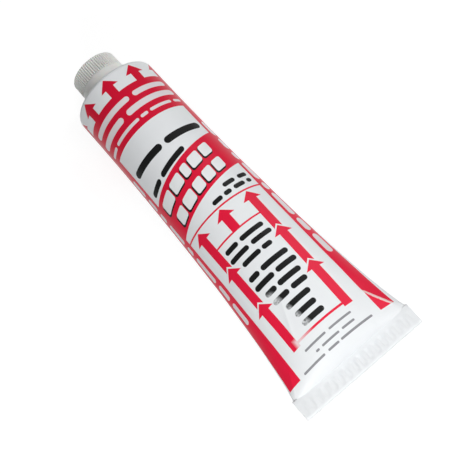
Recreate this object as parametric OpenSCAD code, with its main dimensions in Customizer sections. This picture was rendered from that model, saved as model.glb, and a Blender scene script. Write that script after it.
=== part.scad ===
// Collapsible metal tube of putty with a ribbed screw cap, lying on its back.
// The cap points along +Y, the folded end along -Y and the printed side up.

/* [Body] */
// Diameter of the round end, at the shoulder
tube_d = 25.4; // [22:0.1:30]
// Length of the wall from the shoulder's edge to the fold
body_len = 103; // [80:0.5:130]
// Share of the widening that builds up evenly from the shoulder to the fold
widen_early = 0.76; // [0.7:0.01:0.8]
// Share of the widening that comes in the last third
widen_late = 0.17; // [0.12:0.01:0.19]
// How much the sections' sides sharpen towards the fold
sharpen = 0.7; // [0.3:0.05:0.8]
// Depth of the flat that the tube's own weight presses into its back
flat_spot = 0.35; // [0.2:0.05:0.6]
// How far the soft body settles where it grows thin
settle = 3; // [2:0.1:4]

/* [Shoulder and neck] */
// Radius of the edge between the wall and the shoulder
rim_r = 0.8; // [0.4:0.1:1.2]
// Slope of the shoulder cone
shoulder_angle = 12; // [8:1:18]
// Diameter over the neck's thread
neck_d = 10.6; // [9:0.1:12]
// Length of the neck over the shoulder
neck_len = 6.6; // [5:0.1:9]
// Bevel at the neck's tip
neck_bevel = 0.3; // [0.1:0.05:0.5]
// Diameter of the nozzle's mouth
nozzle_d = 6; // [3:0.1:7]
// Depth of the mouth over the sealed nozzle
nozzle_depth = 0.8; // [0.4:0.1:1.5]

/* [Fold] */
// Height of the folded band
fold_h = 5.8; // [4:0.1:8]
// Thickness of the folded band
fold_t = 1.4; // [1:0.1:2]
// Height of the plain lip above and below the corrugation
lip_h = 0.9; // [0.5:0.1:1.5]
// Distance between the corrugation's ridges
crimp_pitch = 2.5; // [1.8:0.1:3.5]
// Height of the corrugation's wave, from its middle
crimp_wave = 0.25; // [0.1:0.05:0.35]

/* [Cap] */
// Thickness of the cap's side wall behind the ribs
cap_wall = 1.5; // [1:0.1:2.5]
// Thickness of the cap's end wall
cap_end = 1.3; // [0.8:0.1:2.5]
// Height of the smooth collar at the cap's mouth
collar_h = 3.1; // [1.5:0.1:3.5]
// How far the collar stands out from the foot of the ribs
collar_out = 0.35; // [0.1:0.05:0.8]
// Number of ribs
rib_count = 60; // [36:2:72]
// Height of a rib
rib_out = 0.25; // [0.1:0.05:0.4]
// Radius of the edge of the cap's end
crown_r = 0.4; // [0.2:0.1:0.7]
// Thickness of the sealing disc
liner_t = 0.8; // [0.5:0.1:1.5]

/* [Clearances] */
// Gap between the neck and the cap's bore, on the radius
neck_gap = 0.1; // [0.05:0.01:0.3]
// Gap between the cap's mouth and the shoulder
cap_gap = 0.2; // [0.1:0.05:0.5]
// Gap between the sealing disc and the cap's bore, on the radius
liner_gap = 0.15; // [0.1:0.05:0.4]

/* [Hidden] */
$fn = 96;

tube_r = tube_d / 2;
neck_r = neck_d / 2;
nozzle_r = nozzle_d / 2;

// the shoulder sits just inside the wall's polygon and is rooted in the body
shoulder_inset = 0.05;
shoulder_root = 1;
shoulder_r = tube_r - shoulder_inset;
edge_end_r = shoulder_r - rim_r + rim_r * sin(shoulder_angle);
edge_end_h = rim_r * cos(shoulder_angle);
shoulder_h = edge_end_h + (edge_end_r - neck_r) * tan(shoulder_angle);
neck_top = shoulder_h + neck_len;

// heights of the cap, counted from the plane of the shoulder's edge
bore_r = neck_r + neck_gap;
rib_root_r = bore_r + cap_wall;
cap_base = shoulder_h + cap_gap;
bore_top = neck_top + liner_t;
cap_top = bore_top + cap_end;
bore_bevel = 0.3;

// the plain core inside the ribs stays clear of their feet, and the ribs are rooted in the collar
core_inset = 0.06;
core_r = rib_root_r - core_inset;
collar_r = rib_root_r + collar_out;
rib_sink = 0.3;

// the fold is as wide as the round end's girth laid flat
fold_w = PI * tube_r;
corrugation_h = fold_h - 2 * lip_h;
fold_root = 0.4;
crimp_steps = 8;

// the origin is under the middle of the whole length
total_len = cap_top + body_len + fold_h;
rim_y = total_len / 2 - cap_top;
fold_y = rim_y - body_len;
axis_z = tube_r - flat_spot;

// rings along the body and points around each, closer together near the fold
ring_count = 26;
ring_points = 56;
ring_bias = 1.5;
edge_steps = 6;
girth_steps = 24;
solve_rounds = 16;

// powers of the distance from the shoulder that the widening follows, the last one just before the fold
early_power = 1.9;
late_power = 7;
corner_power = 80;
// thickness of the wall's end as a share of the fold's
end_share = 0.9;

function ring_t(i) = 1 - pow(1 - i / ring_count, ring_bias);
function widening(t) = widen_early * pow(t, early_power) + widen_late * pow(t, late_power)
    + (1 - widen_early - widen_late) * pow(t, corner_power);
function half_width(t) = tube_r + (fold_w / 2 - tube_r) * widening(t);
function side_power(t) = 1 + sharpen * pow(t, 3);

// a section keeps the girth of the round end, so its half height follows from its half width
function section_point(a, b, p, angle) =
    [a * cos(angle), b * sign(sin(angle)) * pow(abs(sin(angle)), p)];
function quarter_girth(a, b, p) = total([for (k = [1:girth_steps])
    norm(section_point(a, b, p, 90 * k / girth_steps) - section_point(a, b, p, 90 * (k - 1) / girth_steps))]);
function total(list) = list * [for (v = list) 1];
function solve_height(a, p, low, high, rounds) =
    let (middle = (low + high) / 2)
    rounds <= 0 ? middle
        : quarter_girth(a, middle, p) > quarter_girth(tube_r, tube_r, 1)
            ? solve_height(a, p, low, middle, rounds - 1)
            : solve_height(a, p, middle, high, rounds - 1);
function half_height(t) =
    max(end_share * fold_t / 2, solve_height(half_width(t), side_power(t), 0, tube_d, solve_rounds));

// height of a section's middle: the body settles as it grows thin, so its back stays on the ground
function middle_z(b) = axis_z - settle * (1 - exp((b - tube_r) / settle));
fold_z = middle_z(half_height(1));

function ring(t) =
    let (a = half_width(t), b = half_height(t), p = side_power(t), zc = middle_z(b))
    [for (k = [0:ring_points - 1])
        let (q = section_point(a, b, p, 360 * k / ring_points))
        [q[0], rim_y - t * body_len, zc + q[1]]];

// wall and contents, from the shoulder's edge to the fold
module body() {
    n = ring_points;
    points = [for (i = [0:ring_count]) each ring(ring_t(i))];
    sides = [for (i = [0:ring_count - 1], k = [0:n - 1])
        let (a = i * n + k, b = i * n + (k + 1) % n, c = a + n, d = b + n)
        each [[a, c, b], [b, c, d]]];
    head = [[for (k = [0:n - 1]) k]];
    tail = [[for (k = [n - 1:-1:0]) ring_count * n + k]];
    polyhedron(points = points, faces = concat(head, sides, tail));
}

// turns a shape drawn upright so that it points along the tube from the shoulder's edge
module along_tube(y = 0) {
    translate([0, rim_y + y, axis_z]) rotate([-90, 0, 0]) children();
}

module shoulder_and_neck() {
    edge = [for (k = [0:edge_steps])
        let (angle = (90 - shoulder_angle) * k / edge_steps)
        [shoulder_r - rim_r + rim_r * cos(angle), rim_r * sin(angle)]];
    profile = concat(
        [[0, -shoulder_root], [shoulder_r, -shoulder_root]],
        edge,
        [[neck_r, shoulder_h], [neck_r, neck_top - neck_bevel], [neck_r - neck_bevel, neck_top],
         [nozzle_r, neck_top], [nozzle_r, neck_top - nozzle_depth], [0, neck_top - nozzle_depth]]);
    along_tube() rotate_extrude() polygon(profile);
}

// the flattened end, folded over and pressed between toothed jaws
module fold() {
    x_step = crimp_pitch / crimp_steps;
    x_count = floor(fold_w / x_step);
    xs = [for (i = [0:x_count]) (i - x_count / 2) * x_step];
    wave = [for (x = xs) crimp_wave * cos(360 * x / crimp_pitch)];
    upper = [for (i = [0:x_count]) [xs[i], fold_t / 2 + wave[i]]];
    lower = [for (i = [x_count:-1:0]) [xs[i], wave[i] - fold_t / 2]];
    round_y = -fold_h + fold_t / 2;
    translate([0, fold_y, fold_z]) {
        rotate([90, 0, 0]) translate([0, 0, lip_h])
            linear_extrude(corrugation_h) polygon(concat(upper, lower));
        translate([-fold_w / 2, -lip_h, -fold_t / 2]) cube([fold_w, lip_h + fold_root, fold_t]);
        translate([-fold_w / 2, round_y, -fold_t / 2]) cube([fold_w, lip_h - fold_t / 2, fold_t]);
        translate([-fold_w / 2, round_y, 0]) rotate([0, 90, 0]) cylinder(h = fold_w, d = fold_t);
    }
}

module tube() {
    color([0.9, 0.9, 0.92]) difference() {
        union() {
            body();
            shoulder_and_neck();
            fold();
        }
        // the ground presses the back flat
        translate([-tube_d, -total_len, -tube_d]) cube([2 * tube_d, 2 * total_len, tube_d]);
    }
}

module rib_outline() {
    points_per_rib = 4;
    steps = rib_count * points_per_rib;
    polygon([for (i = [0:steps - 1])
        let (r = rib_root_r + (i % points_per_rib < 2 ? rib_out : 0), angle = 360 * i / steps)
        [r * cos(angle), r * sin(angle)]]);
}

module cap() {
    collar_top = cap_base + collar_h;
    rib_top = cap_top - crown_r;
    crown = [for (k = [0:edge_steps])
        let (angle = 90 * k / edge_steps)
        [core_r - crown_r + crown_r * cos(angle), rib_top + crown_r * sin(angle)]];
    shell = concat([[0, cap_base], [collar_r, cap_base], [collar_r, collar_top], [core_r, collar_top]],
        crown, [[0, cap_top]]);
    hollow = [[0, cap_base - 1], [bore_r + bore_bevel, cap_base - 1], [bore_r + bore_bevel, cap_base],
        [bore_r, cap_base + bore_bevel], [bore_r, bore_top], [0, bore_top]];
    color([0.8, 0.8, 0.77]) along_tube() difference() {
        union() {
            rotate_extrude() polygon(shell);
            translate([0, 0, collar_top - rib_sink])
                linear_extrude(rib_top - collar_top + rib_sink) rib_outline();
        }
        rotate_extrude() polygon(hollow);
    }
}

// sealing disc between the neck's tip and the end of the cap's bore
module liner() {
    color([0.93, 0.92, 0.88]) along_tube(neck_top) cylinder(h = liner_t, r = bore_r - liner_gap);
}

tube();
cap();
liner();
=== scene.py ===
"""Looks of a filled metal tube with a screw cap: printed wall, folded end, bare neck and ribbed cap.

The wall is worked out in millimetres as a sheet whose girth stays that of the tube's round end. A place on it
is given by u, the distance around from the middle of its top, and v, the distance down from the shoulder's
edge. The print is drawn by nodes in millimetres of the same u and v.
"""

import copy
import math

import bmesh
import bpy
import numpy as np
from mathutils import Matrix, Vector

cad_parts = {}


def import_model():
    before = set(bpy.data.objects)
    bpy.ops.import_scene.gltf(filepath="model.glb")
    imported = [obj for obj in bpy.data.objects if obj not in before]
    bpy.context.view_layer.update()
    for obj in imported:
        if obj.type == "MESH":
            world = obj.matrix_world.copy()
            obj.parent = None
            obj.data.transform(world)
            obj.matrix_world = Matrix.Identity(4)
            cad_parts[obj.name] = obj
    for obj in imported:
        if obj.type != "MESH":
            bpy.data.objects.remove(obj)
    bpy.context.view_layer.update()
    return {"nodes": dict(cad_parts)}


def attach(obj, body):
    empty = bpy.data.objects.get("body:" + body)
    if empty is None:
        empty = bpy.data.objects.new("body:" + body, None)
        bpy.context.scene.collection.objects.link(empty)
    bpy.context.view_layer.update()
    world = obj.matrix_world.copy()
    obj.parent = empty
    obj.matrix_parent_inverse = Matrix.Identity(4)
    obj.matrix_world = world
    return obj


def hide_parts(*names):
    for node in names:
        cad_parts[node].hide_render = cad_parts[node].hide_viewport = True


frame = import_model()

MM = 0.001

# sizes that the solids have too, in millimetres: first the wall and its fold
TUBE_R = 12.7
BODY_LEN = 103.0
FLAT_SPOT = 0.35
SETTLE = 3.0
SHARPEN = 0.7
# shares of the widening, each with the power of the distance that it follows
WIDENING = ((0.76, 1.9), (0.17, 7), (0.07, 80))
FOLD_H = 5.8
FOLD_T = 1.4
END_SHARE = 0.9
CRIMP_PITCH = 2.5
CRIMP_WAVE = 0.25
GIRTH = 2 * math.pi * TUBE_R
FOLD_W = GIRTH / 2
AXIS_Z = TUBE_R - FLAT_SPOT

# shoulder and neck, with heights over the shoulder's edge
RIM_R = 0.8
SHOULDER_INSET = 0.05
SHOULDER_ANGLE = math.radians(12)
NECK_R = 5.3
NECK_LEN = 6.6
NOZZLE_R = 3.0
NOZZLE_DEPTH = 0.8
EDGE_END_R = TUBE_R - SHOULDER_INSET - RIM_R + RIM_R * math.sin(SHOULDER_ANGLE)
SHOULDER_H = RIM_R * math.cos(SHOULDER_ANGLE) + (EDGE_END_R - NECK_R) * math.tan(SHOULDER_ANGLE)
NECK_TOP = SHOULDER_H + NECK_LEN

# cap
NECK_GAP = 0.1
CAP_GAP = 0.2
CAP_WALL = 1.5
CAP_END = 1.3
LINER_T = 0.8
RIB_COUNT = 60
RIB_OUT = 0.25
COLLAR_OUT = 0.35
BORE_R = NECK_R + NECK_GAP
RIB_ROOT_R = BORE_R + CAP_WALL
CAP_BASE = SHOULDER_H + CAP_GAP
BORE_TOP = NECK_TOP + LINER_T
CAP_TOP = BORE_TOP + CAP_END

# places along the tube, with the origin under the middle of the whole length
RIM_Y = (CAP_TOP + BODY_LEN + FOLD_H) / 2 - CAP_TOP
FOLD_Y = RIM_Y - BODY_LEN


# The wall's form

SECTION_STEPS = 720
# the angles run from the top's middle over -X and back to the top
SECTION_ANGLES = np.linspace(-1.5 * np.pi, 0.5 * np.pi, SECTION_STEPS + 1)
QUARTER_STEPS = 24
QUARTER_ANGLES = np.linspace(0, np.pi / 2, QUARTER_STEPS + 1)
SOLVE_ROUNDS = 24


def section_curve(half_width, half_height, power, angles):
    s = np.sin(angles)
    return half_width * np.cos(angles), half_height * np.sign(s) * np.abs(s) ** power


def curve_length(x, z):
    return np.hypot(np.diff(x), np.diff(z)).sum()


def half_width_at(t):
    return TUBE_R + (FOLD_W / 2 - TUBE_R) * sum(share * t**power for share, power in WIDENING)


def side_power(t):
    """How sharp a section's sides are."""
    return 1 + SHARPEN * t**3


def half_height_at(t):
    """Half height of the section that keeps the girth at its half width."""
    target = curve_length(*section_curve(TUBE_R, TUBE_R, 1, QUARTER_ANGLES))
    width, power = half_width_at(t), side_power(t)
    low, high = 0.0, 2 * TUBE_R
    for _ in range(SOLVE_ROUNDS):
        middle = (low + high) / 2
        if curve_length(*section_curve(width, middle, power, QUARTER_ANGLES)) > target:
            high = middle
        else:
            low = middle
    return max(END_SHARE * FOLD_T / 2, low)


def middle_z(half_height):
    """Height of a section's middle: the body settles as it grows thin."""
    return AXIS_Z - SETTLE * (1 - math.exp((half_height - TUBE_R) / SETTLE))


FOLD_Z = middle_z(half_height_at(1))


def section_at(v, us):
    """x and z of the wall at v for the places us around, u growing towards +X from the top's middle."""
    t = min(max(v / BODY_LEN, 0), 1)
    height = half_height_at(t)
    x, z = section_curve(half_width_at(t), height, side_power(t), SECTION_ANGLES)
    run = np.concatenate([[0], np.cumsum(np.hypot(np.diff(x), np.diff(z)))])
    # u runs the other way than the angles do
    around = (-us / GIRTH % 1) * run[-1]
    return np.interp(around, run, x), np.interp(around, run, z) + middle_z(height)


def smooth_step(x):
    x = np.clip(x, 0, 1)
    return x * x * (3 - 2 * x)


# soft dents of a handled tube: u, v, radius, height
DENTS = (
    (-7.0, 86.0, 9.0, -0.30),
    (6.0, 60.0, 11.0, -0.10),
    (-9.0, 40.0, 10.0, 0.08),
    (10.0, 25.0, 9.0, -0.08),
    (13.0, 84.0, 7.0, 0.12),
    (2.0, 96.0, 5.0, 0.14),
    (-16.0, 66.0, 8.0, -0.10),
    (17.0, 48.0, 9.0, 0.08),
    (-30.0, 70.0, 10.0, -0.15),
    (31.0, 55.0, 12.0, 0.12),
    (25.0, 90.0, 7.0, -0.18),
    (-24.0, 92.0, 7.0, 0.15),
    (36.0, 30.0, 11.0, -0.10),
)
# a dent falls off like a bell, this share of its radius wide
DENT_SHARE = 0.6

# sharp creases that run into the fold: start u and v, end u and v, half width, height
CREASES = (
    (13.1, 91.5, 18.2, 100.8, 0.9, 0.42),
    (-15.5, 95.0, -19.0, 102.0, 1.2, 0.22),
    (-3.5, 79.0, -10.5, 95.0, 1.6, 0.25),
    (8.0, 98.0, 10.5, 103.0, 0.9, 0.12),
    (-24.0, 93.0, -20.5, 102.0, 1.4, 0.25),
    (27.0, 94.0, 21.5, 102.0, 1.3, 0.22),
)
CREASE_FALL = 1.6
# shares of a crease's length over which it rises and dies out, and where it ends
CREASE_RISE = 0.35
CREASE_END = 1.05
CREASE_TAIL = 0.25

# the relief starts at the shoulder's edge and ends just inside the fold
RELIEF_RISE = 6.0
RELIEF_END = BODY_LEN + 0.3
RELIEF_TAIL = 1.5


def wall_relief(u, v):
    """How far the wall stands out from its smooth form."""
    out = np.zeros_like(u)
    for du, dv, radius, height in DENTS:
        around = (u - du + GIRTH / 2) % GIRTH - GIRTH / 2
        out += height * np.exp(-(around**2 + (v - dv) ** 2) / (radius * DENT_SHARE) ** 2)
    for u0, v0, u1, v1, width, height in CREASES:
        length = math.hypot(u1 - u0, v1 - v0)
        along = ((u - u0) * (u1 - u0) + (v - v0) * (v1 - v0)) / length**2
        across = ((u - u0) * (v1 - v0) - (v - v0) * (u1 - u0)) / length
        taper = smooth_step(along / CREASE_RISE) * smooth_step((CREASE_END - along) / CREASE_TAIL)
        out += height * taper * np.exp(-np.abs(across) / width * CREASE_FALL)
    return out * smooth_step(v / RELIEF_RISE) * smooth_step((RELIEF_END - v) / RELIEF_TAIL)


# Meshes and pieces

# corners of the rectangle that each piece's bake map fills, with room left beside it for the fold's ends
BAKE_LOW = np.array((0.05, 0.005))
BAKE_HIGH = np.array((0.995, 0.995))


def grid_mesh(name, points, uvs, flip=False):
    """A mesh of quads from rows of points, each row a closed ring, with the uv of each row and column."""
    rows, columns = points.shape[:2]
    mesh = bpy.data.meshes.new(name)
    r, c = np.meshgrid(np.arange(rows - 1), np.arange(columns), indexing="ij")
    c1 = (c + 1) % columns
    quads = np.stack([r * columns + c, r * columns + c1, (r + 1) * columns + c1, (r + 1) * columns + c], -1)
    corners = np.stack([uvs[r, c], uvs[r, c + 1], uvs[r + 1, c + 1], uvs[r + 1, c]], 2)
    if flip:
        quads, corners = quads[..., ::-1], corners[:, :, ::-1]
    quads = quads.reshape(-1, 4)
    mesh.from_pydata((points.reshape(-1, 3) * MM).tolist(), [], quads.tolist())
    label = corners.reshape(-1, 2)
    low, high = label.min(0), label.max(0)
    bake = BAKE_LOW + (label - low) / (high - low) * (BAKE_HIGH - BAKE_LOW)
    for layer_name, places in (("label", label), ("OFBake", bake)):
        layer = mesh.uv_layers.new(name=layer_name)
        layer.data.foreach_set("uv", places.reshape(-1).astype(np.float32))
    mesh.polygons.foreach_set("use_smooth", np.ones(len(quads), bool))
    return mesh


def turn_angles(count):
    return np.arange(count) / count * 2 * np.pi


def turned_points(rows, angles):
    """Rings around the tube's axis, from rows of radius and height over the shoulder's edge.

    A radius is one number or an array over the angles.
    """
    points = np.zeros((len(rows), len(angles), 3))
    for i, (r, h) in enumerate(rows):
        points[i, :, 0] = r * np.sin(angles)
        points[i, :, 1] = RIM_Y + h
        points[i, :, 2] = AXIS_Z + r * np.cos(angles)
    return points


def turned_mesh(name, rows, angles):
    around = len(angles)
    u, v = np.meshgrid(np.arange(around + 1) / around, np.arange(len(rows)) / (len(rows) - 1))
    return grid_mesh(name, turned_points(rows, angles), np.stack([u, v], -1))


def add_piece(name, mesh, body, material, replaces):
    piece = bpy.data.objects.new(name, mesh)
    bpy.context.scene.collection.objects.link(piece)
    mesh.materials.append(material)
    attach(piece, body)
    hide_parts(*replaces)


# The enamelled wall and shoulder

WALL_AROUND = 288
WALL_ALONG = 230
# power that brings the rings closer together near the fold
WALL_BIAS = 1.25
# keeps a division from failing where a direction has no length
TINY = 1e-12


def wall_points(us, vs):
    """The wall with its relief, as rows from the shoulder's edge to the fold."""
    smooth = np.zeros((len(vs), len(us), 3))
    for i, v in enumerate(vs):
        x, z = section_at(v, us)
        smooth[i, :, 0], smooth[i, :, 1], smooth[i, :, 2] = x, RIM_Y - v, z
    along = np.gradient(smooth, axis=0)
    around = np.roll(smooth, -1, 1) - np.roll(smooth, 1, 1)
    inwards = np.cross(around, along)
    inwards /= np.linalg.norm(inwards, axis=2, keepdims=True) + TINY
    u, v = np.meshgrid(us, vs)
    points = smooth - inwards * wall_relief(u, v)[..., None]
    points[..., 2] = np.maximum(points[..., 2], 0)
    return points


def cone_height(r):
    """Height of the enamelled shoulder over the shoulder's edge."""
    return RIM_R * math.cos(SHOULDER_ANGLE) + (EDGE_END_R + SHOULDER_INSET - r) * math.tan(SHOULDER_ANGLE)


# the enamelled edge is softer than the solid's, so its curve starts a little down the wall
RIM_ROUND = 1.3
RIM_START = RIM_ROUND / math.cos(SHOULDER_ANGLE) - cone_height(TUBE_R - RIM_ROUND)
RIM_STEPS = 10
# radius at which the enamelled ring ends and the shoulder's bare cone shows, between the edge and the cap
RING_R = 9.5


def rim_points(us):
    """The shoulder's outer ring and rounded edge, from the neck's side to the wall, and the v of each row."""
    turn = math.pi / 2 - SHOULDER_ANGLE
    slope_end = TUBE_R - RIM_ROUND * (1 - math.sin(SHOULDER_ANGLE))
    rows, vs = [], []
    for r in np.linspace(RING_R, slope_end, RIM_STEPS)[:-1]:
        rows.append((r, cone_height(r)))
        vs.append(RIM_START - RIM_ROUND * turn - (slope_end - r))
    for k in range(RIM_STEPS):
        angle = turn * (1 - k / RIM_STEPS)
        rows.append((TUBE_R - RIM_ROUND * (1 - math.cos(angle)), RIM_ROUND * math.sin(angle) - RIM_START))
        vs.append(RIM_START - RIM_ROUND * angle)
    points = turned_points(rows, us / TUBE_R)
    points[..., 2] = np.maximum(points[..., 2], 0)
    return points, np.array(vs)


def tube_wall(material):
    us = (np.arange(WALL_AROUND) / WALL_AROUND - 0.5) * GIRTH
    share = 1 - (1 - np.arange(WALL_ALONG + 1) / WALL_ALONG) ** WALL_BIAS
    vs = RIM_START + (BODY_LEN - RIM_START) * share
    rim, rim_vs = rim_points(us)
    points = np.concatenate([rim, wall_points(us, vs)])
    # one more column closes the label's seam at the back
    u, v = np.meshgrid(np.append(us, GIRTH / 2), np.concatenate([rim_vs, vs]))
    mesh = grid_mesh("tube_wall", points, np.stack([u, v], -1), flip=True)
    add_piece("tube_wall", mesh, "tube_body", material, ["tube"])


# The folded end

SHEET_T = 0.44
# where the front layer comes out of the wall: y from the band's top, and how far under the band's front
LEAD_IN = ((0.8, 0.12), (0.35, 0.09), (0.0, 0.06), (-0.4, 0.0))
FRONT_START = -0.7
LAYER_POINTS = 14
FOOT_TURN_POINTS = 13
TUCK_TURN_POINTS = 9
TUCK_POINTS = 11
TUCK_GAP = 0.1


def fold_outline():
    """The folded sheet seen from its side, as a closed ribbon of (y from the band's top, z from its middle).

    The printed side runs straight on into the band. The sheet turns back at the band's foot, comes up behind
    and is tucked in between its own layers.
    """
    half = (FOLD_T - SHEET_T) / 2
    foot = SHEET_T / 2 + half - FOLD_H
    crown = -SHEET_T / 2 - half / 2
    path = [(y, half - under) for y, under in LEAD_IN]
    path += [(y, half) for y in np.linspace(FRONT_START, foot, LAYER_POINTS)]
    for a in np.linspace(0, math.pi, FOOT_TURN_POINTS)[1:]:
        path.append((foot - half * math.sin(a), half * math.cos(a)))
    path += [(y, -half) for y in np.linspace(foot, crown, LAYER_POINTS)[1:]]
    for a in np.linspace(0, math.pi, TUCK_TURN_POINTS)[1:]:
        path.append((crown + half / 2 * math.sin(a), -half / 2 * (1 + math.cos(a))))
    path += [(y, 0.0) for y in np.linspace(crown, foot + TUCK_GAP, TUCK_POINTS)[1:]]
    path = np.array(path)
    step = np.gradient(path, axis=0)
    step /= np.linalg.norm(step, axis=1, keepdims=True)
    side = np.stack([-step[:, 1], step[:, 0]], -1) * SHEET_T / 2
    return np.concatenate([path + side, (path - side)[::-1]])


# the crimp's plain lips, and the length over which its teeth fade out along and across the band
CRIMP_TOP = 1.0
CRIMP_FOOT = 0.8
CRIMP_FADE = 0.9
CRIMP_SIDE_FADE = 2.0
# the teeth's least depth, the x where they are deepest, and how far the deep stretch reaches
CRIMP_LEAST = 0.45
CRIMP_DEEPEST = 2.0
CRIMP_REACH = 13.0
# how much the teeth differ, and the two lengths at which that repeats
CRIMP_UNEVEN = 0.2
UNEVEN_LONG = 17.0
UNEVEN_SHORT = 5.3
UNEVEN_PHASE = 0.6
# below 1, the teeth's flanks are steeper than a plain wave's
TOOTH_POWER = 0.6


def crimp_relief(x, y):
    """The jaws' teeth, deepest in the middle of the band and a little uneven from tooth to tooth."""
    lips = smooth_step((-y - CRIMP_TOP) / CRIMP_FADE) * smooth_step((FOLD_H - CRIMP_FOOT + y) / CRIMP_FADE)
    middle = CRIMP_LEAST + (1 - CRIMP_LEAST) * np.exp(-(((x - CRIMP_DEEPEST) / CRIMP_REACH) ** 2))
    long_wave = np.cos(2 * np.pi * x / UNEVEN_LONG + UNEVEN_PHASE)
    short_wave = np.cos(2 * np.pi * x / UNEVEN_SHORT)
    uneven = 1 - CRIMP_UNEVEN + CRIMP_UNEVEN * long_wave * short_wave
    edge = smooth_step((FOLD_W / 2 - np.abs(x)) / CRIMP_SIDE_FADE)
    wave = np.cos(2 * np.pi * x / CRIMP_PITCH)
    tooth = np.sign(wave) * np.abs(wave) ** TOOTH_POWER
    return CRIMP_WAVE * tooth * lips * middle * uneven * edge


# the band's ends on the bake map: their left edges, width, lower edge and height
END_MAP_LEFTS = (0.005, 0.027)
END_MAP_W = 0.018
END_MAP_LOW = 0.01
END_MAP_H = 0.75


def close_ends(mesh, rows, columns):
    """Closes both ends of the folded ribbon across its thickness and turns every face outwards."""
    bm = bmesh.new()
    bm.from_mesh(mesh)
    bm.verts.ensure_lookup_table()
    bake = bm.loops.layers.uv["OFBake"]
    for row, left in zip((0, rows - 1), END_MAP_LEFTS):
        first = row * columns
        for c in range(columns // 2 - 1):
            corners = (c, c + 1, columns - 2 - c, columns - 1 - c)
            face = bm.faces.new([bm.verts[first + k] for k in corners])
            for loop in face.loops:
                y, z = loop.vert.co.y / MM - FOLD_Y, loop.vert.co.z / MM - FOLD_Z
                across = left + END_MAP_W * (z / FOLD_T + 0.5)
                loop[bake].uv = (across, END_MAP_LOW + END_MAP_H * (y / FOLD_H + 1))
    bmesh.ops.recalc_face_normals(bm, faces=bm.faces)
    bm.to_mesh(mesh)
    bm.free()


BAND_ROWS = 330
BAND_INSET = 0.02
# the foot's edge is a little wavy where the teeth pulled the sheet in
FOOT_WAVE = 0.05
FOOT_WAVE_PHASE = 0.4
FOOT_WAVE_REACH = 1.5


def fold_band(material):
    outline = fold_outline()
    xs = np.linspace(-FOLD_W / 2 + BAND_INSET, FOLD_W / 2 - BAND_INSET, BAND_ROWS)
    y = outline[None, :, 0]
    wave = FOOT_WAVE * np.cos(2 * np.pi * xs / CRIMP_PITCH + FOOT_WAVE_PHASE)[:, None]
    wave = wave * smooth_step((-y - FOLD_H + FOOT_WAVE_REACH) / FOOT_WAVE_REACH)
    points = np.zeros((len(xs), len(outline), 3))
    points[..., 0] = xs[:, None]
    points[..., 1] = FOLD_Y + y + np.maximum(wave, 0)
    points[..., 2] = FOLD_Z + outline[None, :, 1] + crimp_relief(xs[:, None], y)
    u = np.repeat(xs[:, None], len(outline) + 1, 1)
    v = np.repeat(BODY_LEN - np.append(outline[:, 0], outline[0, 0])[None, :], len(xs), 0)
    mesh = grid_mesh("fold_band", points, np.stack([u, v], -1))
    close_ends(mesh, len(xs), len(outline))
    add_piece("fold_band", mesh, "tube_body", material, ["tube"])


# The bare neck

THREAD_PITCH = 1.75
THREAD_DEPTH = 0.55
# half width of a thread's foot and width of its flank, as shares of the pitch
THREAD_FOOT = 0.36
THREAD_FLANK = 0.2
# height in which a thread fades in or out
THREAD_FADE = 0.5

NECK_AROUND = 128
NECK_ROOT_R = NECK_R - THREAD_DEPTH
NECK_ROWS = 90
NECK_START = SHOULDER_H + 0.12
NECK_END = NECK_TOP - 0.25
# the bare cone starts a little inside the enamelled edge, lies just under the enamel and ends by the neck
CONE_ROWS = 14
CONE_START_R = EDGE_END_R - 1.0
CONE_END_R = NECK_ROOT_R + 0.15
CONE_SINK = 0.03

NOZZLE_FLOOR = NECK_TOP - NOZZLE_DEPTH
# the neck's rounded tip, the mouth's edge and the slightly domed seal, as radii and heights
NECK_TIP = (
    (NECK_ROOT_R - 0.03, NECK_TOP - 0.15),
    (NECK_ROOT_R - 0.12, NECK_TOP - 0.05),
    (NECK_ROOT_R - 0.25, NECK_TOP),
    (NOZZLE_R + 0.3, NECK_TOP),
    (NOZZLE_R + 0.1, NECK_TOP - 0.05),
    (NOZZLE_R, NECK_TOP - 0.2),
    (NOZZLE_R - 0.02, NOZZLE_FLOOR + 0.15),
    (NOZZLE_R - 0.2, NOZZLE_FLOOR),
    (NOZZLE_R * 0.6, NOZZLE_FLOOR + 0.05),
    (NOZZLE_R * 0.3, NOZZLE_FLOOR + 0.08),
    (0.02, NOZZLE_FLOOR + 0.09),
)


def thread_bump(h, angles, start, end):
    """A right-hand thread's height from 0 to 1 at height h, fading in and out at its ends."""
    phase = ((h / THREAD_PITCH - angles / (2 * np.pi)) % 1) - 0.5
    shape = smooth_step((THREAD_FOOT - np.abs(phase)) / THREAD_FLANK)
    return shape * smooth_step((h - start) / THREAD_FADE) * smooth_step((end - h) / THREAD_FADE)


def tube_neck(material):
    angles = turn_angles(NECK_AROUND)
    rows = [
        (r, SHOULDER_H + (NECK_R - r) * math.tan(SHOULDER_ANGLE) - CONE_SINK)
        for r in np.linspace(CONE_START_R, CONE_END_R, CONE_ROWS)
    ]
    for h in np.linspace(NECK_START, NECK_END, NECK_ROWS):
        bump = thread_bump(h, angles, SHOULDER_H + THREAD_FADE, NECK_TOP - THREAD_FADE)
        rows.append((NECK_ROOT_R + THREAD_DEPTH * bump, h))
    mesh = turned_mesh("tube_neck", [*rows, *NECK_TIP], angles)
    add_piece("tube_neck", mesh, "tube_body", material, ["tube"])


# The cap

CAP_AROUND = RIB_COUNT * 12

# the bore is cut by the thread's groove, which opens over a short height at both ends
BORE_ROWS = 60
BORE_START = BORE_TOP - 0.3
GROOVE_DEPTH = 0.4
GROOVE_OPENING = 0.4
GROOVE_LOW = CAP_BASE + 0.45
GROOVE_HIGH = BORE_TOP - 0.7
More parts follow.
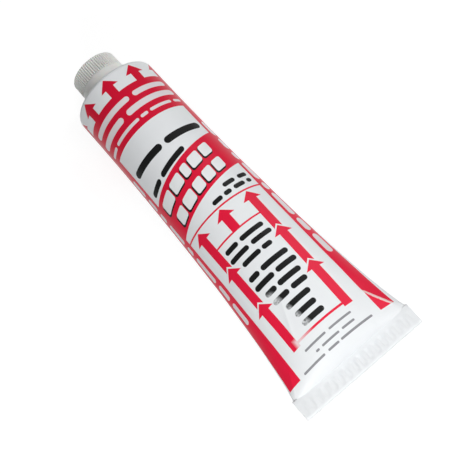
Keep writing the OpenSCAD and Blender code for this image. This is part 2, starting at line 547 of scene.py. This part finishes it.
# heights between which the thread's ridge stands in the bore
BORE_THREAD = (CAP_BASE + 0.6, BORE_TOP - 1.0)
BORE_END = (
    (0.02, BORE_TOP),
    (BORE_R * 0.5, BORE_TOP),
    (BORE_R - 0.3, BORE_TOP),
    (BORE_R - 0.05, BORE_TOP - 0.05),
)
BORE_MOUTH = (
    (BORE_R + 0.02, CAP_BASE + 0.3),
    (BORE_R + 0.3, CAP_BASE + 0.02),
    (BORE_R + 0.45, CAP_BASE),
)

# the collar is a little narrower at the cap's mouth
COLLAR_H = 3.5
COLLAR_FLARE = 0.2
COLLAR_R = RIB_ROOT_R + COLLAR_OUT
COLLAR_TOP = CAP_BASE + COLLAR_H
COLLAR_ROWS = 6
MOUTH_R = COLLAR_R - COLLAR_FLARE
MOUTH_ROUND = 0.45
MOUTH_STEPS = 6
COLLAR_START = CAP_BASE + 0.7
# height of the collar's upper edge, and its points as distances inwards and upwards from its corner
EDGE_H = 0.2
COLLAR_EDGE = ((0.03, -0.10), (0.12, -0.02), (0.28, 0.02))

# rounded ribs with narrower valleys, which rise out of the collar and get slimmer towards the cap's end
RIB_DEPTH = 0.45
RIB_POWER = 0.9
RIB_ROWS = 18
RIB_START = COLLAR_TOP + 0.06
# where the ribs start to rise, and the height in which they do
RISE_START = COLLAR_TOP + 0.02
RIB_RISE = 0.35
RIB_TAPER = 0.10
RIB_R = RIB_ROOT_R + RIB_OUT
# height of the skin where it leaves the collar, as a share of the ribs' depth
RIB_FOOT = 0.25
# rounding between the ribs and the cap's end
CROWN_EDGE = 0.22
CROWN_STEPS = 8
RIB_TOP = CAP_TOP - CROWN_EDGE

# flat end with a shallow dish and the moulding's gate mark, as radii and depths under the cap's top
DISH_R = RIB_ROOT_R - 1.3
CAP_END_OUTLINE = (
    (DISH_R + 0.25, 0.0),
    (DISH_R, 0.05),
    (DISH_R - 0.3, 0.15),
    (3.0, 0.16),
    (1.1, 0.16),
    (0.95, 0.22),
    (0.6, 0.22),
    (0.5, 0.1),
    (0.02, 0.08),
)


def bore_rows(angles):
    """The bore from its end to its mouth, with the thread's groove."""
    rows = list(BORE_END)
    for h in np.linspace(BORE_START, GROOVE_LOW, BORE_ROWS):
        groove = 1 - thread_bump(h, angles, *BORE_THREAD)
        opening = smooth_step((h - GROOVE_LOW) / GROOVE_OPENING)
        closing = smooth_step((GROOVE_HIGH - h) / GROOVE_OPENING)
        rows.append((BORE_R + GROOVE_DEPTH * groove * opening * closing, h))
    return [*rows, *BORE_MOUTH]


def collar_rows():
    """The rounded mouth and the smooth collar."""
    rows = []
    for k in range(MOUTH_STEPS + 1):
        angle = math.pi / 2 * k / MOUTH_STEPS
        r = MOUTH_R - MOUTH_ROUND + MOUTH_ROUND * math.sin(angle)
        rows.append((r, CAP_BASE + MOUTH_ROUND - MOUTH_ROUND * math.cos(angle)))
    for h in np.linspace(COLLAR_START, COLLAR_TOP - EDGE_H, COLLAR_ROWS):
        share = (h - CAP_BASE - MOUTH_ROUND) / (COLLAR_H - MOUTH_ROUND - EDGE_H)
        rows.append((MOUTH_R + COLLAR_FLARE * share, h))
    rows += [(COLLAR_R - inwards, COLLAR_TOP + up) for inwards, up in COLLAR_EDGE]
    return rows


def rib_rows(angles):
    """The ribs from the collar to the cap's end, running out over its rounded edge."""
    ribs = np.abs(np.cos(angles * RIB_COUNT / 2)) ** RIB_POWER
    rows = []
    for h in np.linspace(RIB_START, RIB_TOP, RIB_ROWS):
        share = smooth_step((h - RISE_START) / RIB_RISE)
        taper = RIB_TAPER * (h - COLLAR_TOP) / (RIB_TOP - COLLAR_TOP)
        rows.append((RIB_R - RIB_DEPTH - taper + RIB_DEPTH * (share * ribs + (1 - share) * RIB_FOOT), h))
    for k in range(1, CROWN_STEPS + 1):
        angle = math.pi / 2 * k / CROWN_STEPS
        r = RIB_R - RIB_TAPER - CROWN_EDGE * (1 - math.cos(angle))
        valley = RIB_DEPTH * (1 - ribs) * math.cos(angle) ** 0.5
        rows.append((r - valley, RIB_TOP + CROWN_EDGE * math.sin(angle)))
    return rows


def cap_shell(material):
    """The cap's whole skin from the end of its bore, out over the mouth and ribs to the middle of its end."""
    angles = turn_angles(CAP_AROUND)
    rows = bore_rows(angles) + collar_rows() + rib_rows(angles)
    rows += [(r, CAP_TOP - depth) for r, depth in CAP_END_OUTLINE]
    mesh = turned_mesh("cap_shell", rows, angles)
    add_piece("cap_shell", mesh, "cap_body", material, ["cap"])


# Numbers worked out by a material's nodes

class Value:
    """A number at each point of a surface."""

    def __init__(self, tree, socket):
        self.tree = tree
        self.socket = socket

    def node(self, operation, *others, clamp=False):
        made = self.tree.nodes.new("ShaderNodeMath")
        made.operation = operation
        made.use_clamp = clamp
        for index, value in enumerate((self, *others)):
            if isinstance(value, Value):
                self.tree.links.new(value.socket, made.inputs[index])
            else:
                made.inputs[index].default_value = value
        return Value(self.tree, made.outputs[0])

    def __add__(self, other):
        return self.node("ADD", other)

    def __sub__(self, other):
        return self.node("SUBTRACT", other)

    def __mul__(self, other):
        return self.node("MULTIPLY", other)

    def __abs__(self):
        return self.node("ABSOLUTE")

    def line(self, slope, start, clamp=False):
        """slope times the number, and start added."""
        return self.node("MULTIPLY_ADD", slope, start, clamp=clamp)

    def below(self, limit):
        """How far the number is below limit."""
        return self.line(-1, limit)

    def wrap(self, low, high):
        return self.node("WRAP", high, low)


def both(a, b):
    return a.node("MINIMUM", b)


def either(a, b):
    return a.node("MAXIMUM", b)


def without(shape, hole):
    return both(shape, hole * -1)


def widest(shapes):
    """All the shapes together."""
    ink = shapes[0]
    for shape in shapes[1:]:
        ink = either(ink, shape)
    return ink


def rounded(a, b, radius):
    """What is inside both a and b, with a round corner where their edges meet."""
    x = a.below(radius).node("MAXIMUM", 0)
    y = b.below(radius).node("MAXIMUM", 0)
    return (x * x + y * y).node("SQRT").below(radius)


def map_place(tree):
    """The place on the piece's own map, across and down."""
    place = tree.nodes.new("ShaderNodeUVMap")
    place.uv_map = "label"
    split = tree.nodes.new("ShaderNodeSeparateXYZ")
    tree.links.new(place.outputs["UV"], split.inputs[0])
    return Value(tree, split.outputs["X"]), Value(tree, split.outputs["Y"])


def noise_value(tree, scale, detail):
    place = tree.nodes.new("ShaderNodeTexCoord")
    made = tree.nodes.new("ShaderNodeTexNoise")
    made.inputs["Scale"].default_value = scale
    made.inputs["Detail"].default_value = detail
    tree.links.new(place.outputs["Object"], made.inputs["Vector"])
    return Value(tree, made.outputs["Fac"])


# The print's places, in millimetres of u and v

# the print sits a little off the middle of the tube's top, and its own u counts from there
LABEL_MIDDLE = -0.9
# left and right ends of the front panel and of the stripes beside it
PANEL = (-13.9, 14.8)
STRIPES = (-18.6, 19.4)
STRIPES_TOP = 18.0
STRIPES_FOOT = 99.8

# half width and height of an arrow's head, and half width of its stem
ARROW = (3.0, 2.75)
STEM = 1.35

# arrows around the tube's head, standing on a red band
HEAD_ARROWS = 9
HEAD_TIP = 0.4
HEAD_ARROW_H = 3.1
HEAD_STEM = (2.5, 7.0)
HEAD_BAND = (6.3, 18.8)

# slanted band: its slope, its upper and lower edge and its ends
BAND_SLANT = 0.24
BAND_EDGES = (33.6, 46.15)
BAND_ENDS = (-14.5, 15.5)

# two columns of arrows: the line between them, their distance from it, the first tip, pitch, heads and stems
COLUMNS_MIDDLE = 0.1
COLUMN_SIDE = 9.2
FIRST_TIP = 51.95
COLUMN_PITCH = 13.0
COLUMN_HEADS = (51.9, 89.0)
COLUMN_STEMS = (54.0, 93.8)
# each head but the first is cut clear of the stem above it by a gap in the head's form: between which v the
# gaps are, how far before a head's tip they repeat, how far down from there they start, and how much larger
# than the head they are
GAP_HEADS = (60.0, 89.0)
GAP_BEFORE = 1.0
GAP_TIP = 0.42
GAP_GROW = 0.5

# short arrow in the middle
MIDDLE_ARROW = 0.05
MIDDLE_STEM = (54.0, 59.4)

# thin red lines: left, right, top and bottom
THIN_LINES = ((*PANEL, 51.15, 51.65), (-8.0, 8.0, 59.1, 59.6), (-8.0, 8.0, 92.4, 93.05))

# rows of round-ended bars: middle v, height, slant, and the left and right end of each bar
LIGHT_ROWS = (
    (9.5, 1.75, 0.0, (-14.4, 2.2), (3.7, 15.5)),
    (13.15, 1.95, 0.0, (-15.2, -2.9), (-1.2, 16.0)),
    (16.5, 1.0, 0.0, (-15.3, -10.6), (-9.7, 0.4), (1.2, 3.6), (4.4, 11.7), (12.8, 15.9)),
)
BLACK_ROWS = (
    (26.8, 2.2, 0.0, (-12.3, 0.1), (1.4, 13.7)),
    (32.2, 1.7, 0.2, (-12.1, -6.6), (-5.6, 4.3)),
    (47.5, 1.35, 0.05, (5.2, 9.2), (10.4, 13.7)),
    (49.7, 1.35, 0.05, (-0.3, 3.1), (3.9, 6.3), (7.3, 11.1), (12.0, 13.7)),
    (62.2, 1.45, 0.0, (-6.8, -2.2), (-1.2, 6.6)),
    (64.95, 1.45, 0.0, (-7.4, -0.6), (0.5, 7.2)),
    (67.9, 1.45, 0.0, (-5.3, 1.1), (1.8, 5.0)),
    (72.1, 1.6, 0.0, (-6.8, -3.1), (-2.2, 6.8)),
    (75.1, 1.6, 0.0, (-7.2, -0.4), (0.5, 7.2)),
    (78.2, 1.6, 0.0, (-6.1, -2.3), (-1.5, 6.1)),
    (81.2, 1.6, 0.0, (-5.9, -0.4), (0.6, 5.8)),
    (84.4, 1.6, 0.0, (-4.1, 4.1)),
    (87.5, 1.6, 0.0, (-3.6, 3.4)),
    (90.4, 1.6, 0.0, (-3.7, 3.6)),
)
GREY_ROWS = (
    (95.7, 0.6, 0.0, (-7.9, -0.5), (0.7, 8.2)),
    (97.75, 0.6, 0.0, (-5.7, -4.5), (-3.5, 2.4), (3.4, 7.6)),
    (99.6, 0.6, 0.0, (-12.1, -4.3), (-3.0, 0.7), (1.4, 12.0)),
)

# rows of large blocks: middle v, slant, and the left and right end of each block
LARGE_ROWS = (
    (37.1, 0.235, (-12.2, -6.8), (-6.0, -1.6), (-0.8, 1.6), (2.4, 6.2), (7.0, 10.4)),
    (42.9, 0.24, (-10.6, -6.9), (-6.1, -1.9), (-1.1, 2.2), (3.0, 6.3), (7.1, 10.5)),
)
LARGE_H = 3.7
LARGE_CORNER = 0.7
LARGE_SHADOW = 0.30
LARGE_OUTLINE = 0.20

# light bars along the red stripes: their upper and lower ends, and their middles and widths on each stripe
SIDE_SPANS = (
    (25.2, 31.0),
    (32.4, 36.6),
    (38.0, 41.0),
    (42.4, 49.2),
    (50.6, 53.4),
    (54.8, 63.6),
    (65.0, 70.0),
    (71.4, 78.6),
)
SIDE_BARS = ((-16.1, 1.6), (17.2, 2.4))

# two blocks of fine bars on the plain back: first and last v, row pitch, bar height and distance between gaps
BACK_BLOCKS = ((32.0, 57.2, 2.1, 0.75, 9.3), (66.0, 91.2, 2.1, 0.75, 8.1))
# the larger row over each block
BACK_HEADS = (
    (27.5, 1.9, 0.0, (-11.5, -3.0), (-1.4, 3.6), (5.2, 12.0)),
    (62.2, 1.5, 0.0, (-9.0, 0.8), (2.2, 9.5)),
)
BACK_HALF = 15.5
BACK_GAP = 0.45
# the rows end unevenly, up to this much short
BACK_RAGGED = 5.0
# steps from row to row of the gaps' places and of the rows' ends, which look unordered
GAP_STEP = 0.618
END_STEP = 2.41


class Label:
    """Print shapes as distances in millimetres, positive inside the ink. u grows to the right and v down."""

    def __init__(self, tree):
        across, self.v = map_place(tree)
        self.tree = tree
        self.u = across - LABEL_MIDDLE

    def moved(self, around):
        """The same label with u counted from another line, and no jump within half the girth of it."""
        other = copy.copy(self)
        other.u = (self.u - around).wrap(-GIRTH / 2, GIRTH / 2)
        return other

    def between_v(self, low, high):
        return abs(self.v - (low + high) / 2).below((high - low) / 2)

    def between_u(self, low, high):
        return abs(self.u - (low + high) / 2).below((high - low) / 2)

    def box(self, left, right, top, bottom):
        return both(self.between_u(left, right), self.between_v(top, bottom))

    def slanted_v(self, slant):
        """v measured from a line that climbs to the right by slant."""
        return self.u.node("MULTIPLY_ADD", slant, self.v)

    def row(self, middle, height, slant, spans, radius, shift=0.0):
        """A row of bars with round corners, given by their left and right ends.

        shift moves the row down and to the left.
        """
        level = (self.slanted_v(slant) if slant else self.v) - (middle + shift)
        inside = widest([self.between_u(left - shift, right - shift) for left, right in spans])
        return rounded(abs(level).below(height / 2), inside, radius)


def arrow_head(x, tip, half_width, height):
    """Distance inside a triangle that points up: x across from its middle, tip the distance below its tip."""
    length = math.hypot(half_width, height)
    side = (tip * (half_width / length)) - (x * (height / length))
    return both(side, tip.below(height))


def head_print(label):
    """Arrows around the tube's head and the band that they stand on."""
    pitch = GIRTH / HEAD_ARROWS
    across = abs(label.u.wrap(-pitch / 2, pitch / 2))
    heads = arrow_head(across, label.v - HEAD_TIP, ARROW[0], HEAD_ARROW_H)
    stems = both(across.below(STEM), label.between_v(*HEAD_STEM))
    return widest([heads, stems, label.between_v(*HEAD_BAND)])


def stripes_print(label):
    """The two stripes beside the front panel, which is open towards the fold."""
    panel = label.box(*PANEL, HEAD_BAND[1], BODY_LEN + FOLD_H)
    return without(label.box(*STRIPES, STRIPES_TOP, STRIPES_FOOT), panel)


def band_print(label):
    """Slanted band behind the large blocks."""
    top, bottom = BAND_EDGES
    level = abs(label.slanted_v(BAND_SLANT) - (top + bottom) / 2)
    return both(level.below((bottom - top) / 2), label.between_u(*BAND_ENDS))


def columns_print(label):
    """Two columns of arrows, each head cut clear of the stem above it."""
    across = abs(abs(label.u - COLUMNS_MIDDLE) - COLUMN_SIDE)
    repeat = (label.v - FIRST_TIP).wrap(0, COLUMN_PITCH)
    heads = both(arrow_head(across, repeat, *ARROW), label.between_v(*COLUMN_HEADS))
    stems = both(across.below(STEM), label.between_v(*COLUMN_STEMS))
    before = (label.v - FIRST_TIP + GAP_BEFORE).wrap(0, COLUMN_PITCH)
    gaps = arrow_head(across, before - GAP_TIP, ARROW[0] + GAP_GROW, ARROW[1] + GAP_GROW)
    return either(heads, without(stems, both(gaps, label.between_v(*GAP_HEADS))))


def middle_print(label):
    """Short arrow in the middle."""
    across = abs(label.u - MIDDLE_ARROW)
    stem = both(across.below(STEM), label.between_v(*MIDDLE_STEM))
    return either(arrow_head(across, label.v - FIRST_TIP, *ARROW), stem)


def red_print(label):
    parts = [head_print, stripes_print, band_print, columns_print, middle_print]
    lines = [label.box(*line) for line in THIN_LINES]
    return widest([part(label) for part in parts] + lines)


def rows_print(label, rows):
    """Rows of round-ended bars."""
    return widest([
        label.row(middle, height, slant, bars, height / 2)
        for middle, height, slant, *bars in rows
    ])


def blocks_print(label, grow, shift):
    """Large blocks, grown on all sides, and shifted for their shadow."""
    rows = []
    for middle, slant, *blocks in LARGE_ROWS:
        spans = [(left - grow, right + grow) for left, right in blocks]
        rows.append(label.row(middle, LARGE_H + 2 * grow, slant, spans, LARGE_CORNER + grow, shift))
    return widest(rows)


def side_print(label):
    """Light bars along both red stripes."""
    inside = widest([label.between_v(top, bottom) for top, bottom in SIDE_SPANS])
    return widest([
        rounded(label.between_u(middle - width / 2, middle + width / 2), inside, width / 2)
        for middle, width in SIDE_BARS
    ])


def back_print(label):
    """Rows of fine bars on the back, each row with gaps at its own places."""
    back = label.moved(GIRTH / 2)
    ink = rows_print(back, BACK_HEADS)
    for top, bottom, pitch, height, span in BACK_BLOCKS:
        row = ((label.v - top) * (1 / pitch)).node("FLOOR")
        level = (label.v - top).wrap(0, pitch) - pitch / 2
        shift = (row * GAP_STEP).node("FRACT") * span
        gap = abs((back.u + shift).wrap(-span / 2, span / 2)) - BACK_GAP
        end = (row * END_STEP).node("FRACT").line(-BACK_RAGGED, BACK_HALF)
        ends = both(back.u + BACK_HALF, end - back.u)
        bar = both(both(abs(level).below(height / 2), gap), ends)
        ink = either(ink, both(bar, label.between_v(top, bottom)))
    return ink


# Highlights painted on the print

# the pale line painted as a highlight on the sharpest crease: the grain of its edge, its least half width and
# what the grain adds
HIGHLIGHT_GRAIN = 1100.0
HIGHLIGHT_LEAST = 0.12
HIGHLIGHT_MORE = 0.5
# share of that width at the crease's two ends, the second one by the fold
HIGHLIGHT_AT_START = 0.6
HIGHLIGHT_AT_END = 1.2
# how far along the crease the line starts, how soft its edge is, and how much it covers
HIGHLIGHT_START = 0.9
HIGHLIGHT_EDGE = 0.2
HIGHLIGHT_COVER = 0.9

# a line u = start + slope * v along which a painted highlight pales the black ink, how far to each side, and
# between which v
GLARE_START = -23.2
GLARE_SLOPE = 0.218
GLARE_WIDTH = 2.4
GLARE_REACH = (77.5, 93.0)
GLARE_SOFTNESS = 0.5
GLARE_STRENGTH = 1.6
GLARE_COVER = 0.8
# scale of the painted highlight's grain, and the slope and start that its contrast is made with
GLARE_GRAIN = 1500.0
GLARE_CONTRAST = (2.4, -0.45)

# the part of the lowest thin line and of the column's foot beside it that a painted highlight pales, which
# grows to the left
FOOT_GLARE_BOX = (-9.3, 8.0, 91.2, 95.0)
FOOT_GLARE_SLOPE = -0.2
FOOT_GLARE_START = -0.4
FOOT_GLARE_EDGE = 0.9
FOOT_GLARE_COVER = 0.7


def painted_crease_highlight(label):
    """A painted highlight along the sharpest crease's ridge, as a thin broken pale line."""
    u0, v0, u1, v1 = CREASES[0][:4]
    length = math.hypot(u1 - u0, v1 - v0)
    du, dv = (u1 - u0) / length, (v1 - v0) / length
    u, v = label.u - (u0 - LABEL_MIDDLE), label.v - v0
    across = abs(u * dv - v * du)
    along = u * du + v * dv
    width = noise_value(label.tree, scale=HIGHLIGHT_GRAIN, detail=2.0).line(HIGHLIGHT_MORE, HIGHLIGHT_LEAST)
    width = width * along.line((HIGHLIGHT_AT_END - HIGHLIGHT_AT_START) / length, HIGHLIGHT_AT_START)
    return both(width - across, both(along - HIGHLIGHT_START, along.below(length)))


def painted_glare(label):
    """From 0 to 1, where a painted highlight pales the black ink along a soft fold of the sheet."""
    across = abs(label.v.node("MULTIPLY_ADD", -GLARE_SLOPE, label.u) - GLARE_START)
    patch = across.line(-1 / GLARE_WIDTH, 1, clamp=True)
    patch = patch * label.between_v(*GLARE_REACH).node("MULTIPLY", GLARE_SOFTNESS, clamp=True)
    grain = noise_value(label.tree, scale=GLARE_GRAIN, detail=2.0).line(*GLARE_CONTRAST, clamp=True)
    return patch.node("MULTIPLY", GLARE_STRENGTH, clamp=True) * grain


def painted_foot_glare(label):
    """From 0 to 1, where a painted highlight pales the lowest thin line and the foot of the left column."""
    reach = label.u.line(FOOT_GLARE_SLOPE, FOOT_GLARE_START, clamp=True)
    return reach * label.box(*FOOT_GLARE_BOX).node("MULTIPLY", FOOT_GLARE_EDGE, clamp=True)


# Materials

PRINT_EDGE = 0.06


def coverage(distance, edge=PRINT_EDGE):
    """Ink from 0 to 1, with the soft edge of a printed line."""
    return distance.line(1 / edge, 0.5, clamp=True)


def new_material(name):
    material = bpy.data.materials.new(name)
    material.use_nodes = True
    tree = material.node_tree
    return material, tree, tree.nodes["Principled BSDF"]


def mix_colour(tree, cover, under, over):
    """over where cover is 1. Each is a colour socket or a colour."""
    made = tree.nodes.new("ShaderNodeMix")
    made.data_type = "RGBA"
    tree.links.new(cover.socket, made.inputs["Factor"])
    for name, value in (("A", under), ("B", over)):
        socket = next(s for s in made.inputs if s.name == name and s.type == "RGBA")
        if isinstance(value, tuple):
            socket.default_value = (*value, 1)
        else:
            tree.links.new(value, socket)
    return next(s for s in made.outputs if s.type == "RGBA")


def set_skin(tree, shader, colour, tone, spread, least):
    """Links the colour, and a roughness that follows tone from least up by spread."""
    tree.links.new(colour, shader.inputs["Base Color"])
    tree.links.new(tone.line(spread, least).socket, shader.inputs["Roughness"])


def add_bump(tree, shader, height, distance, strength):
    made = tree.nodes.new("ShaderNodeBump")
    made.inputs["Distance"].default_value = distance
    made.inputs["Strength"].default_value = strength
    tree.links.new(height.socket, made.inputs["Height"])
    tree.links.new(made.outputs["Normal"], shader.inputs["Normal"])


WHITE_ENAMEL = (0.84, 0.86, 0.87)
WHITE_ENAMEL_DEEP = (0.81, 0.83, 0.85)
RED_INK = (0.80, 0.012, 0.050)
# the second red is the same ink, painted darker as shade for the tube's head
RED_INK_SHADED = (0.66, 0.006, 0.034)
# the red painted darker as shade turns into the lighter one from this v on, over this length
RED_SHADE_V = 6.0
RED_SHADE_LEN = 60.0
BLACK_INK = (0.010, 0.010, 0.010)
GREY_INK = (0.27, 0.27, 0.29)
LIGHT_INK = (0.80, 0.74, 0.76)
# pale pink painted as a highlight along a crease
CREASE_HIGHLIGHT = (0.82, 0.66, 0.64)


def printed_enamel():
    material, tree, shader = new_material("printed_enamel")
    label = Label(tree)
    colour = mix_colour(tree, noise_value(tree, scale=60.0, detail=2.0), WHITE_ENAMEL, WHITE_ENAMEL_DEEP)
    # painted shade: the red is darker towards the head, where the tube gets less light
    head_shade = label.v.line(1 / RED_SHADE_LEN, -RED_SHADE_V / RED_SHADE_LEN, clamp=True)
    shaded_red = mix_colour(tree, head_shade, RED_INK_SHADED, RED_INK)
    # painted highlight: the red is paled at the lowest thin line and the left column's foot
    red = coverage(red_print(label)) * painted_foot_glare(label).line(-FOOT_GLARE_COVER, 1)
    # painted highlight: the black ink is paled along a soft fold near the fold's left end
    black = coverage(rows_print(label, BLACK_ROWS)) * painted_glare(label).line(-GLARE_COVER, 1)
    # painted highlight: a pale line along the sharpest crease, on the red only
    crease_glint = coverage(painted_crease_highlight(label), HIGHLIGHT_EDGE) * (red * HIGHLIGHT_COVER)
    for cover, ink in (
        (red, shaded_red),
        (coverage(rows_print(label, LIGHT_ROWS)), LIGHT_INK),
        (coverage(side_print(label)), LIGHT_INK),
        (coverage(blocks_print(label, LARGE_OUTLINE, LARGE_SHADOW)), BLACK_INK),
        (coverage(blocks_print(label, 0.0, 0.0)), WHITE_ENAMEL),
        (black, BLACK_INK),
        (coverage(rows_print(label, GREY_ROWS)), GREY_INK),
        (coverage(back_print(label)), GREY_INK),
        (crease_glint, CREASE_HIGHLIGHT),
    ):
        colour = mix_colour(tree, cover, colour, ink)
    set_skin(tree, shader, colour, noise_value(tree, scale=120.0, detail=1.0), spread=0.08, least=0.30)
    shader.inputs["Specular IOR Level"].default_value = 0.16
    add_bump(tree, shader, noise_value(tree, scale=300.0, detail=1.0), distance=0.00003, strength=0.3)
    return material


METAL_TONES = ((0.50, 0.51, 0.52), (0.64, 0.65, 0.66))


def bare_aluminium():
    material, tree, shader = new_material("bare_aluminium")
    tone = noise_value(tree, scale=500.0, detail=4.0)
    set_skin(tree, shader, mix_colour(tree, tone, *METAL_TONES), tone, spread=0.2, least=0.28)
    shader.inputs["Metallic"].default_value = 1.0
    add_bump(tree, shader, noise_value(tree, scale=1500.0, detail=2.0), distance=0.00002, strength=0.4)
    return material


PLASTIC_TONES = ((0.86, 0.86, 0.83), (0.92, 0.92, 0.89))
# darker colour painted as shade in the valleys between the ribs
VALLEY_SHADE = (0.52, 0.52, 0.50)
# how much the painted shade's cover follows the plastic's tone, and its least cover
SHADE_COVER = (0.6, 0.35)
# first and last place of the ribs on the cap's map, which counts its rows from the bore's end
RIBS_ON_MAP = (0.712, 0.918)
VALLEY_SHARPNESS = 1.6
VALLEY_END = 60.0


def painted_valley_shade(tree):
    """Painted shade from 0 to 1 in the valleys between the cap's ribs."""
    turn, row = map_place(tree)
    valley = abs((turn * (math.pi * RIB_COUNT)).node("COSINE")).line(-VALLEY_SHARPNESS, 1, clamp=True)
    first, last = RIBS_ON_MAP
    return valley * both(row - first, row.below(last)).node("MULTIPLY", VALLEY_END, clamp=True)


def cap_plastic():
    material, tree, shader = new_material("cap_plastic")
    tone = noise_value(tree, scale=260.0, detail=2.0)
    colour = mix_colour(tree, tone, *PLASTIC_TONES)
    # painted shade darkens the valleys between the ribs
    colour = mix_colour(tree, painted_valley_shade(tree) * tone.line(*SHADE_COVER), colour, VALLEY_SHADE)
    set_skin(tree, shader, colour, tone, spread=0.14, least=0.22)
    shader.inputs["Subsurface Weight"].default_value = 0.1
    shader.inputs["Subsurface Scale"].default_value = 0.001
    add_bump(tree, shader, noise_value(tree, scale=900.0, detail=2.0), distance=0.00001, strength=0.4)
    return material


BOARD_TONES = ((0.66, 0.62, 0.54), (0.84, 0.82, 0.76))


def liner_board():
    material, tree, shader = new_material("liner_board")
    tone = noise_value(tree, scale=900.0, detail=5.0)
    set_skin(tree, shader, mix_colour(tree, tone, *BOARD_TONES), tone, spread=0.15, least=0.7)
    add_bump(tree, shader, tone, distance=0.0001, strength=0.6)
    return material


enamel = printed_enamel()
tube_wall(enamel)
fold_band(enamel)
tube_neck(bare_aluminium())
cap_shell(cap_plastic())

liner = frame["nodes"]["liner"]
liner.data.materials.clear()
liner.data.materials.append(liner_board())


# Floor, lamps and camera, in metres

FLOOR_HALF = 3.0
FLOOR_Z = -0.1 * MM
FLOOR_TONES = ((0.54, 0.54, 0.54), (0.58, 0.58, 0.58))
FLOOR_SEEN = (0.34, 0.34, 0.34)
FLOOR_GLOW = 0.80
WHITE_LIGHT = (1, 1, 1, 1)


def floor_material():
    """Pale paint, which a camera or a reflection sees as white but for the object's shadow."""
    material, tree, shader = new_material("floor_paint")
    colour = mix_colour(tree, noise_value(tree, scale=3.0, detail=3.0), *FLOOR_TONES)
    shader.inputs["Roughness"].default_value = 0.9
    rays = tree.nodes.new("ShaderNodeLightPath")
    kinds = ("Is Camera Ray", "Is Glossy Ray", "Is Transmission Ray")
    seen = widest([Value(tree, rays.outputs[kind]) for kind in kinds])
    tree.links.new(mix_colour(tree, seen, colour, FLOOR_SEEN), shader.inputs["Base Color"])
    shader.inputs["Emission Color"].default_value = WHITE_LIGHT
    tree.links.new((seen * FLOOR_GLOW).socket, shader.inputs["Emission Strength"])
    return material


def floor():
    mesh = bpy.data.meshes.new("floor")
    corners = ((-1, -1), (1, -1), (1, 1), (-1, 1))
    mesh.from_pydata([(x * FLOOR_HALF, y * FLOOR_HALF, FLOOR_Z) for x, y in corners], [], [(0, 1, 2, 3)])
    mesh.materials.append(floor_material())
    piece = bpy.data.objects.new("floor", mesh)
    bpy.context.scene.collection.objects.link(piece)


WORLD_LIGHT = 0.206
# square lamps: name, place, the point that each is aimed at, side and power in watts
LAMPS = (
    ("front", (-0.12, -0.28, 0.18), (0, -0.02, 0.01), 0.18, 0.72),
    ("top", (0.06, -0.18, 0.60), (0, -0.01, 0.01), 0.30, 0.61),
    ("right", (0.20, 0.0, 0.18), (0, -0.01, 0.01), 0.22, 0.32),
)


def area_light(name, place, target, side, power):
    light = bpy.data.lights.new(name, "AREA")
    light.shape = "RECTANGLE"
    light.size = side
    light.size_y = side
    light.energy = power
    lamp = bpy.data.objects.new(name, light)
    lamp.location = place
    lamp.rotation_euler = (Vector(target) - Vector(place)).to_track_quat("-Z", "Y").to_euler()
    bpy.context.scene.collection.objects.link(lamp)


def world():
    made = bpy.data.worlds.new("studio")
    made.use_nodes = True
    background = made.node_tree.nodes["Background"]
    background.inputs["Color"].default_value = WHITE_LIGHT
    background.inputs["Strength"].default_value = WORLD_LIGHT
    bpy.context.scene.world = made


# the camera looks down over the fold at the label, and is rolled so that the tube lies aslant
CAMERA_TARGET = Vector((-1.56, -7.97, AXIS_Z)) * MM
CAMERA_DISTANCE = 0.5815
CAMERA_TILT = math.radians(23.62)
CAMERA_SIDE = math.radians(-3.72)
TUBE_ROLL = math.radians(-1.81)
PICTURE_ROLL = math.radians(40.386)
CAMERA_LENS = 163.13
CAMERA_SENSOR = 36
CAMERA_CLIP = (0.05, 20)


def camera():
    forward = Vector((0, math.sin(CAMERA_TILT), -math.cos(CAMERA_TILT)))
    up = Vector((0, math.cos(CAMERA_TILT), math.sin(CAMERA_TILT)))
    right = Vector((1, 0, 0))
    side = Matrix.Rotation(CAMERA_SIDE, 3, "Y")
    forward, up, right = side @ forward, side @ up, side @ right
    roll = TUBE_ROLL - PICTURE_ROLL
    right, up = (
        math.cos(roll) * right + math.sin(roll) * up,
        -math.sin(roll) * right + math.cos(roll) * up,
    )
    data = bpy.data.cameras.new("camera")
    data.sensor_width = CAMERA_SENSOR
    data.lens = CAMERA_LENS
    data.clip_start, data.clip_end = CAMERA_CLIP
    made = bpy.data.objects.new("camera", data)
    turn = Matrix((right, up, -forward)).transposed().to_4x4()
    made.matrix_world = Matrix.Translation(CAMERA_TARGET - CAMERA_DISTANCE * forward) @ turn
    bpy.context.scene.collection.objects.link(made)
    bpy.context.scene.camera = made


floor()
world()
for lamp in LAMPS:
    area_light(*lamp)
camera()
bpy.context.scene.view_settings.view_transform = "Standard"
